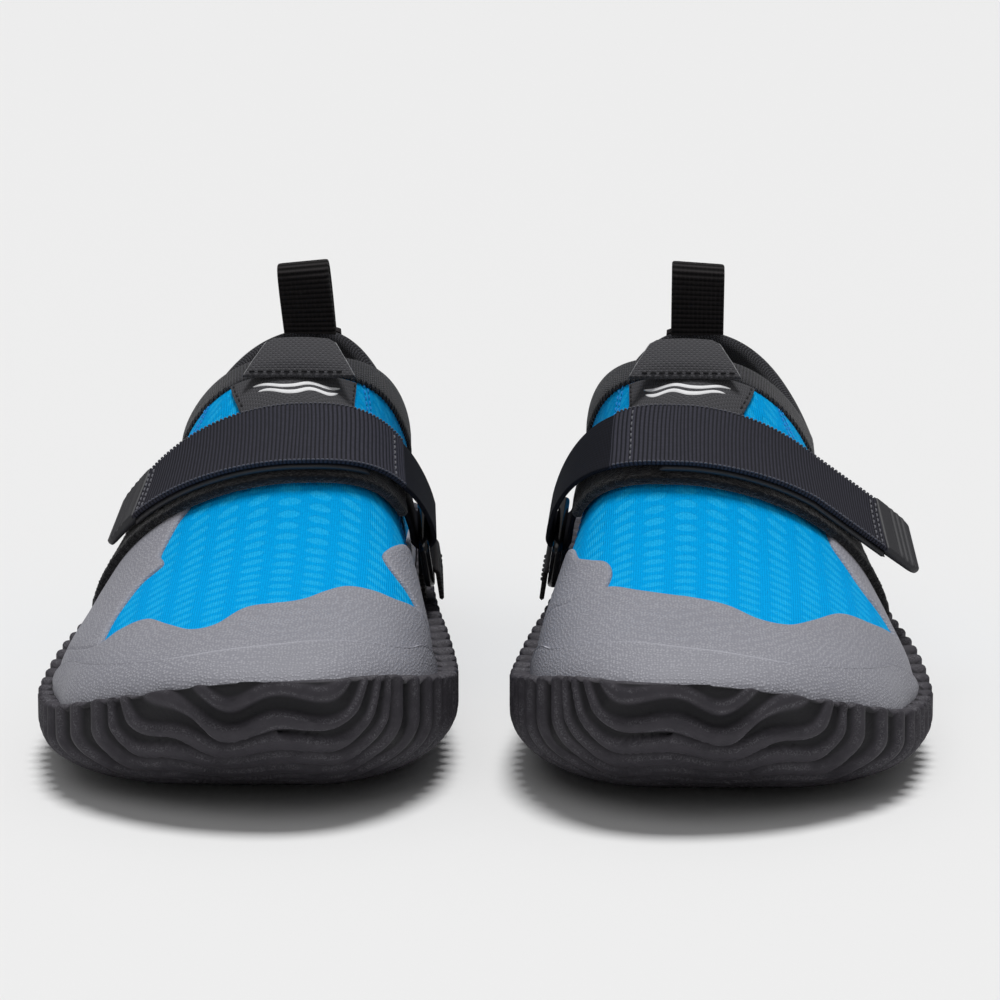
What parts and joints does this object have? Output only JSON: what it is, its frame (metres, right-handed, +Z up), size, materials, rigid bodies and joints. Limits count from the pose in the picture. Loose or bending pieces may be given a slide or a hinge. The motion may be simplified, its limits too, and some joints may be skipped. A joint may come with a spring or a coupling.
{
  "type": "pair of neoprene water boots",
  "caption": "Pair of low-cut neoprene water boots with a lugged rubber sole, bonded toe cap, strap over the instep, knit collar and heel pull loop.",
  "frame": {"origin": "midway between the boots on the floor, at the middle of their length", "axes": "+Z up, toes towards -Y, the wearer's right boot at -X"},
  "size_m": [0.233, 0.285, 0.105],
  "materials": {
    "sole_rubber": "moulded rubber, matt, with a dusty bloom on the ridges",
    "grey_rubber": "thin bonded rubber with a fine wrinkled grain",
    "blue_neoprene": "stretch neoprene with a fine knit face",
    "collar_knit": "soft ribbed knit",
    "board_fibre": "stitched fibre board with foam",
    "footbed_foam": "moulded foam with a fabric face",
    "tab_fabric": "woven ballistic cloth",
    "pull_webbing": "coarse woven webbing",
    "pile_fabric": "fuzzy loop pile",
    "elastic_webbing": "smooth elastic webbing",
    "ribbed_webbing": "ribbed webbing with a stitched edge",
    "hook_plastic": "moulded hook strip",
    "tab_plastic": "moulded pull tab, satin",
    "ring_plastic": "glossy moulded ring"
  },
  "bodies": {
    "right_boot": {"right_outsole": "sole_rubber", "right_insole_board": "board_fibre", "right_footbed": "footbed_foam", "right_vamp": "blue_neoprene", "right_medial_quarter": "blue_neoprene", "right_lateral_quarter": "blue_neoprene", "right_collar": "collar_knit", "right_toe_cap": "grey_rubber", "right_medial_wing": "grey_rubber", "right_lateral_wing": "grey_rubber", "right_heel_counter": "grey_rubber", "right_tongue_patch": "tab_fabric", "right_heel_tape": "pull_webbing", "right_pile_strap": "pile_fabric", "right_elastic_webbing": "elastic_webbing", "right_ring_anchor": "pull_webbing"},
    "right_strap_flap": {"right_strap_webbing": "ribbed_webbing", "right_hook_pad": "hook_plastic", "right_end_tab": "tab_plastic"},
    "right_ring_link": {"right_ring": "ring_plastic"},
    "right_pull_loop": {"right_heel_loop": "pull_webbing"},
    "right_tongue_pull": {"right_tongue_tab": "tab_fabric"},
    "left_boot": {"left_outsole": "sole_rubber", "left_insole_board": "board_fibre", "left_footbed": "footbed_foam", "left_vamp": "blue_neoprene", "left_medial_quarter": "blue_neoprene", "left_lateral_quarter": "blue_neoprene", "left_collar": "collar_knit", "left_toe_cap": "grey_rubber", "left_medial_wing": "grey_rubber", "left_lateral_wing": "grey_rubber", "left_heel_counter": "grey_rubber", "left_tongue_patch": "tab_fabric", "left_heel_tape": "pull_webbing", "left_pile_strap": "pile_fabric", "left_elastic_webbing": "elastic_webbing", "left_ring_anchor": "pull_webbing"},
    "left_strap_flap": {"left_strap_webbing": "ribbed_webbing", "left_hook_pad": "hook_plastic", "left_end_tab": "tab_plastic"},
    "left_ring_link": {"left_ring": "ring_plastic"},
    "left_pull_loop": {"left_heel_loop": "pull_webbing"},
    "left_tongue_pull": {"left_tongue_tab": "tab_fabric"}
  },
  "joints": [
    {"name": "right_flap_open", "type": "hinge", "parent": "right_boot", "child": "right_strap_flap", "pos_m": [-0.02393, -0.008, 0.06765], "axis": [-0.083, 0.9115, 0.4028], "range_deg": [0, 90]},
    {"name": "right_ring_rock", "type": "hinge", "parent": "right_boot", "child": "right_ring_link", "pos_m": [-0.0175, 0.01147, 0.0377], "axis": [-0.054, 0.9657, 0.2539], "range_deg": [-3, 3]},
    {"name": "right_heel_loop_bend", "type": "hinge", "parent": "right_boot", "child": "right_pull_loop", "pos_m": [-0.0575, 0.1275, 0.0862], "axis": [1, 0, 0], "range_deg": [-20, 40], "stiffness_Nm_per_rad": 0.01},
    {"name": "right_tongue_tab_bend", "type": "hinge", "parent": "right_boot", "child": "right_tongue_pull", "pos_m": [-0.05474, 0.00388, 0.0901], "axis": [1, 0, 0], "range_deg": [0, 70], "stiffness_Nm_per_rad": 0.01},
    {"name": "left_boot_lift", "type": "slide", "parent": "right_boot", "child": "left_boot", "axis": [0, 0, 1], "range_m": [0, 0.15]},
    {"name": "left_flap_open", "type": "hinge", "parent": "left_boot", "child": "left_strap_flap", "pos_m": [0.03325, -0.016, 0.0755], "axis": [-0.056, -0.8601, -0.5071], "range_deg": [0, 90]},
    {"name": "left_ring_rock", "type": "hinge", "parent": "left_boot", "child": "left_ring_link", "pos_m": [0.0175, 0.01147, 0.0377], "axis": [-0.054, -0.9657, -0.2539], "range_deg": [-3, 3]},
    {"name": "left_heel_loop_bend", "type": "hinge", "parent": "left_boot", "child": "left_pull_loop", "pos_m": [0.0575, 0.1275, 0.0862], "axis": [1, 0, 0], "range_deg": [-20, 40], "stiffness_Nm_per_rad": 0.01},
    {"name": "left_tongue_tab_bend", "type": "hinge", "parent": "left_boot", "child": "left_tongue_pull", "pos_m": [0.05474, 0.00388, 0.0901], "axis": [1, 0, 0], "range_deg": [0, 70], "stiffness_Nm_per_rad": 0.01}
  ]
}
